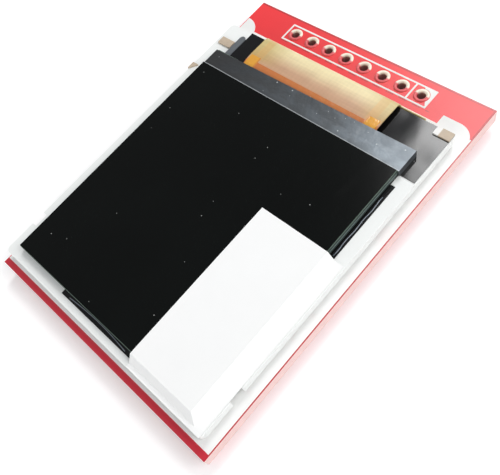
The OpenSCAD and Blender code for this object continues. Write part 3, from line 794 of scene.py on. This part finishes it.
class MODULE_OT_pad_rims(bpy.types.Operator):
    """Raised tin round each header hole, left by dipping the board"""

    bl_idname = "module.pad_rims"
    bl_label = "Tinned rims"

    def execute(self, context):
        sizes = context.scene.module_sizes
        rims = Shape()
        section = round_section(sizes.rim_width, sizes.rim_rise)
        for low, high in solids_of("header_pads"):
            middle = (low + high) / 2
            radius = (high.x - low.x) / 2 - sizes.rim_width / 2
            for height, flip in ((high.z, 1), (low.z, -1)):
                path = [(x, y, height) for x, y in circle(middle, radius, 32)]
                rims.sweep(path, [(across, up * flip) for across, up in section], closed=True)
        finish = NODES["header_pads"].data.materials[0]
        rims.made("pad_rims", finish, "tinned_copper", smooth=True)
        return {"FINISHED"}


class MODULE_OT_rear_print(bpy.types.Operator):
    """White outlines round the small parts on the back"""

    bl_idname = "module.rear_print"
    bl_label = "Outlines on the back"

    def execute(self, context):
        sizes, colours = context.scene.module_sizes, context.scene.module_colours
        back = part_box("pcb")[0].z
        pads = solids_of("rear_pads")
        section = flat_section(sizes.print_width, -sizes.print_rise)
        gap = sizes.print_gap + sizes.print_width / 2
        outline = Shape()
        for name in ("capacitor_bodies", "resistor_bodies", "package_bodies"):
            for low, high in solids_of(name):
                middle = (low + high) / 2
                own = [p for p in pads if ((p[0] + p[1]) / 2 - middle).xy.length < sizes.pad_reach]
                own = own or [(low, high)]
                x0 = min(p[0].x for p in own) - gap
                x1 = max(p[1].x for p in own) + gap
                y0 = min(p[0].y for p in own) - gap
                y1 = max(p[1].y for p in own) + gap
                path = [(x0, y0, back), (x1, y0, back), (x1, y1, back), (x0, y1, back)]
                outline.sweep(path, section, closed=True)
        finish = plain_paint("rear_ink", colours.ink, rough=0.5, size=0.12, depth=0.006, contrast=0.08)
        outline.made("rear_print", finish, "white_ink")
        return {"FINISHED"}


class MODULE_OT_housing(bpy.types.Operator):
    """White housing, its foam tape and the blank label"""

    bl_idname = "module.housing"
    bl_label = "Housing, foam and label"

    def execute(self, context):
        sizes, colours = context.scene.module_sizes, context.scene.module_colours
        dress(moulding_paint(colours), "housing")
        dress(foam_paint(colours), "foam_tape", "flex_foam")
        dress(label_paint(colours), "blank_label")
        dress(tan_paint(colours), "corner_tabs")
        soften("housing", sizes.edge_round)
        return {"FINISHED"}


class MODULE_OT_backlight(bpy.types.Operator):
    """Light guide, films, lamps and their strip"""

    bl_idname = "module.backlight"
    bl_label = "Backlight"

    def execute(self, context):
        colours = context.scene.module_colours
        film = plain_paint("white_film", colours.white_film, rough=0.45, size=0.3, depth=0.004, contrast=0.06)
        guide = plain_paint(
            "clear_acrylic", colours.acrylic, rough=0.08, size=0.5, depth=0.003, contrast=0.06, coat=0.4
        )
        resin = plain_paint("lamp_resin", colours.lamp_resin, rough=0.3, size=0.2, depth=0.01)
        strip = plain_paint("strip_film", colours.strip_film, rough=0.3, size=0.2, depth=0.006)
        dress(film, "reflector", "diffuser")
        dress(guide, "light_guide")
        dress(ribbed_paint(colours), "prism_lower", "prism_upper")
        dress(resin, "backlight_leds")
        dress(strip, "led_strip")
        return {"FINISHED"}


class MODULE_OT_screen(bpy.types.Operator):
    """Polarisers, the two sheets of glass and the driver chip"""

    bl_idname = "module.screen"
    bl_label = "Screen"

    def execute(self, context):
        colours = context.scene.module_colours
        chip = plain_paint("silicon", colours.silicon, rough=0.15, size=0.4, depth=0.002, contrast=0.1)
        dress(screen_paint(colours), "front_polariser", "rear_polariser")
        dress(glass_paint(colours), "thin_film_glass", "colour_filter_glass")
        dress(chip, "driver_chip")
        return {"FINISHED"}


class MODULE_OT_tapes(bpy.types.Operator):
    """Black tape and its raised edges, the grey flap beside it and the grey tape over the chip"""

    bl_idname = "module.tapes"
    bl_label = "Tapes"

    def execute(self, context):
        sizes, colours = context.scene.module_sizes, context.scene.module_colours
        dress(tape_paint(colours), "rim_tape", "shield_tape")
        dress(cover_paint(colours), "ledge_tape")
        self.flap(sizes, colours)
        self.raised_edges(sizes, colours)
        return {"FINISHED"}

    def flap(self, sizes, colours):
        """Grey flap with a round end, at the left-hand side of the glossy black tape. Its grey is a painted
        reflection of the sky in that glossy tape.
        """
        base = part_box("shield_tape")[0]
        radius = sizes.flap_width / 2
        middle = base.x - radius - 0.03 * MM
        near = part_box("thin_film_glass")[1].y + 0.05 * MM
        far = near + sizes.flap_length - radius
        turns = [math.pi * i / 12 for i in range(13)]
        end = [(middle + radius * math.cos(a), far + radius * math.sin(a)) for a in turns]
        flap = Shape()
        flap.slab([(middle + radius, near), *end, (middle - radius, near)], base.z, base.z + sizes.flap_rise)
        finish = plain_paint(
            "flap_painted_reflection", colours.flap, rough=0.28, size=0.3, depth=0.02, contrast=0.3, coat=0.3
        )
        flap.made("side_flap_reflection", finish, "grey_tape")

    def raised_edges(self, sizes, colours):
        """A wavy ridge at the right-hand side of the glass, and one that curls along the foot, both coloured
        as a painted highlight.
        """
        rim_low, rim_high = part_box("rim_tape")
        label_low, label_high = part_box("blank_label")
        section = round_section(sizes.ridge_width, sizes.ridge_rise)
        edges = Shape()
        right = (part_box("thin_film_glass")[1].x + rim_high.x) / 2
        start, step, wave = label_high.y + 0.3 * MM, 0.55 * MM, 0.04 * MM
        path = [(right + wave * math.sin(i * 1.3), start + i * step, rim_high.z) for i in range(15)]
        edges.sweep(path, section)
        # The curl ends a little before the label and is highest at its middle
        steps, reach = 16, 9 * MM
        left = label_low.x - 1.2 * MM - reach
        path = []
        for i in range(steps + 1):
            share = i / steps
            curl = (0.1 + 0.36 * math.sin(math.pi * (0.1 + 0.8 * share))) * MM
            path.append((left + reach * share, rim_low.y + curl, rim_high.z))
        edges.sweep(path, section)
        # The ridges' pale bluish colour is a painted highlight
        finish = plain_paint(
            "tape_edge_highlight", colours.tape_edge_highlight, rough=0.12, size=0.3, depth=0.01, contrast=0.3, coat=0.8
        )
        edges.made("tape_edges", finish, "black_tape", smooth=True)


class MODULE_OT_flex(bpy.types.Operator):
    """Folded flex tail, its sealant, pads and solder"""

    bl_idname = "module.flex"
    bl_label = "Flex tail"

    def execute(self, context):
        colours = context.scene.module_colours
        dress(flex_paint(colours), "flex_tail")
        dress(sealant_paint(colours), "flex_seal")
        dress(metal_paint("gold_pad", colours.gold, rough=0.25, metallic=0.8), "flex_pads")
        dress(metal_paint("solder", colours.solder, rough=0.22, metallic=0.85), "flex_solder")
        return {"FINISHED"}


class MODULE_OT_rear_parts(bpy.types.Operator):
    """Small parts on the back of the board"""

    bl_idname = "module.rear_parts"
    bl_label = "Parts on the back"

    def execute(self, context):
        sizes, colours = context.scene.module_sizes, context.scene.module_colours
        package = plain_paint(
            "black_moulding", colours.package, rough=0.55, size=0.08, depth=0.012, contrast=0.2
        )
        legs = metal_paint("tinned_legs", colours.legs, rough=0.28, metallic=0.85, size=0.15)
        tan = plain_paint("tan_ceramic", colours.ceramic_tan, rough=0.5, size=0.1, depth=0.008, contrast=0.2)
        black = plain_paint(
            "black_ceramic", colours.ceramic_black, rough=0.3, size=0.15, depth=0.006, contrast=0.2, coat=0.3
        )
        dress(package, "package_bodies")
        dress(legs, "package_legs", "chip_ends")
        dress(tan, "capacitor_bodies")
        dress(black, "resistor_bodies")
        for name in ("capacitor_bodies", "resistor_bodies", "chip_ends"):
            soften(name, sizes.chip_round)
        return {"FINISHED"}


class MODULE_OT_stage(bpy.types.Operator):
    """Pale floor, soft light and the camera"""

    bl_idname = "module.stage"
    bl_label = "Stage"

    def execute(self, context):
        scene = context.scene
        scene.view_settings.view_transform = "Standard"
        self.floor(scene)
        world = bpy.data.worlds.new("studio")
        world.use_nodes = True
        sky = world.node_tree.nodes["Background"]
        sky.inputs["Color"].default_value = (0.95, 0.97, 1.0, 1.0)
        sky.inputs["Strength"].default_value = 0.36
        scene.world = world
        for lamp in LAMPS:
            self.lamp(scene, *lamp)
        self.camera(scene)
        return {"FINISHED"}

    def floor(self, scene):
        """A floor that turns up into a low round wall, so that the background is white from every side."""
        sizes = scene.module_sizes
        flat, wall, sides = sizes.floor_size / 2, sizes.wall_height, 96
        turns = [math.pi / 2 * i / 10 for i in range(11)]
        lean = 0.7
        profile = [(flat * share, 0.0) for share in (0.1, 0.4, 0.7)]
        profile += [(flat + wall * lean * math.sin(a), wall * (1 - math.cos(a))) for a in turns]
        # Just under the lowest parts on the back, so that no two faces lie in one plane
        base = CAD_BOX[0].z - 0.01 * MM
        centre = Vector((0, 0, 0))
        points = [(0, 0, base)]
        for radius, rise in profile:
            points += [(x, y, base + rise) for x, y in circle(centre, radius, sides)]
        faces = [(0, 1 + i, 1 + (i + 1) % sides) for i in range(sides)]
        for ring in range(len(profile) - 1):
            a, b = 1 + ring * sides, 1 + (ring + 1) * sides
            faces += [(a + i, b + i, b + (i + 1) % sides, a + (i + 1) % sides) for i in range(sides)]
        mesh = bpy.data.meshes.new("floor")
        mesh.from_pydata(points, [], faces)
        mesh.materials.append(self.floor_paint(flat / MM))
        for face in mesh.polygons:
            face.use_smooth = True
        floor = bpy.data.objects.new("floor", mesh)
        scene.collection.objects.link(floor)

    def floor_paint(self, flat):
        """White floor that keeps the shadow, and shows clean white away from the module."""
        paint = Paint("floor")
        seen = paint.add("LightPath", output="Is Camera Ray") | paint.add("LightPath", output="Is Glossy Ray")
        seen = seen | paint.add("LightPath", output="Is Transmission Ray")
        cloud = paint.noise(30) * 0.01
        plain = paint.add("BsdfDiffuse", sockets={"Color": paint.lighten((0.92, 0.92, 0.92), 0.995 + cloud)})
        glow = paint.add("Emission", sockets={"Color": (1, 1, 1, 1), "Strength": 0.2})
        both = paint.add("AddShader", sockets={0: plain, 1: glow})
        white = paint.add("Emission", sockets={"Color": (1, 1, 1, 1), "Strength": 1.0})
        distance = paint.add("VectorMath", {"operation": "LENGTH"}, {0: paint.place}, "Value")
        away = distance.rise(flat * 0.12, flat * 0.5)
        shown = paint.add("MixShader", sockets={0: away, 1: both, 2: white})
        paint.add_output(paint.add("MixShader", sockets={0: seen, 1: plain, 2: shown}))
        return paint.material

    def lamp(self, scene, name, way, distance, width, depth, strength):
        """A soft panel of light that faces the screen, whose strength is that of its own face."""
        way = Vector(way)
        data = bpy.data.lights.new(name, "AREA")
        data.shape = "RECTANGLE"
        data.size, data.size_y = width, depth
        data.energy = strength * 4 * width * depth
        panel = bpy.data.objects.new(name, data)
        panel.location = Vector((0, 0, CAD_BOX[1].z)) + way.normalized() * distance
        panel.rotation_mode = "QUATERNION"
        panel.rotation_quaternion = way.to_track_quat("Z", "Y")
        scene.collection.objects.link(panel)

    def camera(self, scene):
        """The camera, above the screen and to its right."""
        sizes = scene.module_sizes
        lens = bpy.data.cameras.new("camera")
        lens.lens = sizes.camera_lens
        lens.sensor_width = 36
        lens.clip_start = 0.001
        camera = bpy.data.objects.new("camera", lens)
        camera.location = sizes.camera_place
        camera.rotation_euler = sizes.camera_turn
        scene.collection.objects.link(camera)
        scene.camera = camera


STEPS = (
    MODULE_OT_board,
    MODULE_OT_traces,
    MODULE_OT_pad_rims,
    MODULE_OT_rear_print,
    MODULE_OT_housing,
    MODULE_OT_backlight,
    MODULE_OT_screen,
    MODULE_OT_tapes,
    MODULE_OT_flex,
    MODULE_OT_rear_parts,
    MODULE_OT_stage,
)


class MODULE_PT_panel(bpy.types.Panel):
    """Lists the steps that finish the module"""

    bl_idname = "MODULE_PT_panel"
    bl_label = "Display module"
    bl_space_type = "VIEW_3D"
    bl_region_type = "UI"
    bl_category = "Module"

    def draw(self, context):
        for step in STEPS:
            self.layout.operator(step.bl_idname)
        for group in (context.scene.module_sizes, context.scene.module_colours):
            column = self.layout.column()
            for name in group.bl_rna.properties.keys():
                if name not in ("rna_type", "name"):
                    column.prop(group, name)


CLASSES = (ModuleColours, ModuleSizes, *STEPS, MODULE_PT_panel)


def register():
    for each in CLASSES:
        bpy.utils.register_class(each)
    bpy.types.Scene.module_colours = bpy.props.PointerProperty(type=ModuleColours)
    bpy.types.Scene.module_sizes = bpy.props.PointerProperty(type=ModuleSizes)


def unregister():
    del bpy.types.Scene.module_sizes
    del bpy.types.Scene.module_colours
    for each in reversed(CLASSES):
        bpy.utils.unregister_class(each)


def main():
    register()
    for step in STEPS:
        group, name = step.bl_idname.split(".")
        getattr(getattr(bpy.ops, group), name)()


if __name__ == "__main__":
    main()
